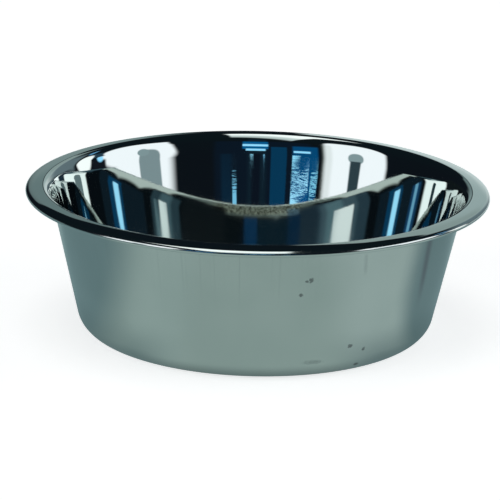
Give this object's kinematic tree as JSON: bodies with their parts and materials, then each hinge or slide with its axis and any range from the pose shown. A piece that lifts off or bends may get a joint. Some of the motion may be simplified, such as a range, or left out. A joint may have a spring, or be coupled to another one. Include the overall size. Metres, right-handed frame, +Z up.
{
  "type": "pet bowl",
  "caption": "Round steel pet bowl with a tapered wall that flares into a turned-out brim with a rolled edge, and a raised base panel, for food or water.",
  "frame": {"origin": "on the bowl's axis, in the plane that it stands on", "axes": "+Z up along the bowl's axis towards its mouth; X and Y are level and alike, because the bowl is round"},
  "size_m": [0.286, 0.286, 0.0915],
  "materials": {
    "polished_steel": "mirror-polished stainless steel inside and on the rim",
    "satin_steel": "fine satin stainless steel on the outside of the wall and base"
  },
  "bodies": {
    "root": {"bowl_shell": "polished_steel", "rolled_rim": "polished_steel"}
  },
  "joints": []
}
